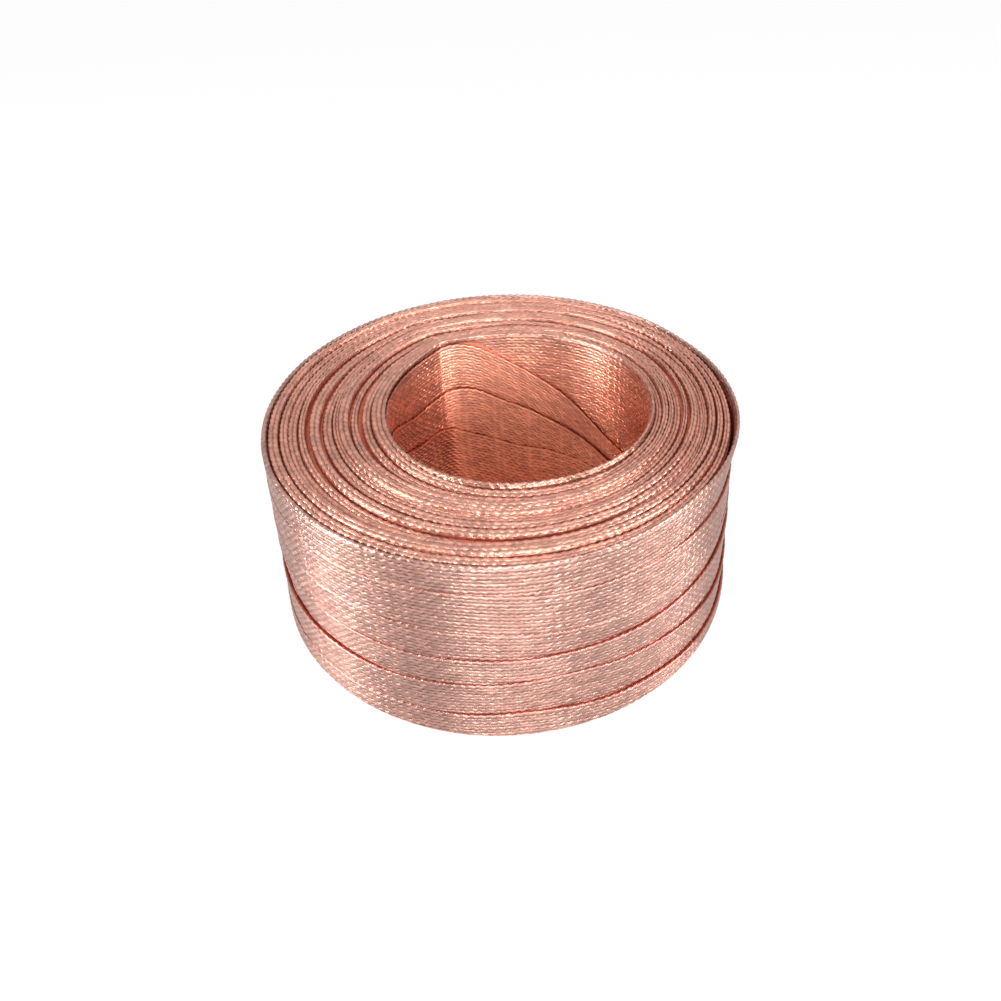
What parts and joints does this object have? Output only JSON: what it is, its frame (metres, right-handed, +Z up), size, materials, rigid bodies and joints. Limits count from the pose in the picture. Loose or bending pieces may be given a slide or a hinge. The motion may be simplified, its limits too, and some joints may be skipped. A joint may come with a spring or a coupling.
{
  "type": "flexible busbar braid",
  "caption": "Coil of flat braided bare copper strap for flexible busbar and earthing links, lying on one face, with an open bore off its middle.",
  "frame": {"origin": "on the floor under the middle of the coil's outline", "axes": "+Z up along the coil's axis, the coil lying on one face; the bore is moved off the middle towards +X"},
  "size_m": [0.1722, 0.1718, 0.074],
  "materials": {
    "bare_copper": null
  },
  "bodies": {
    "root": {"wound_braid": "bare_copper"}
  },
  "joints": []
}
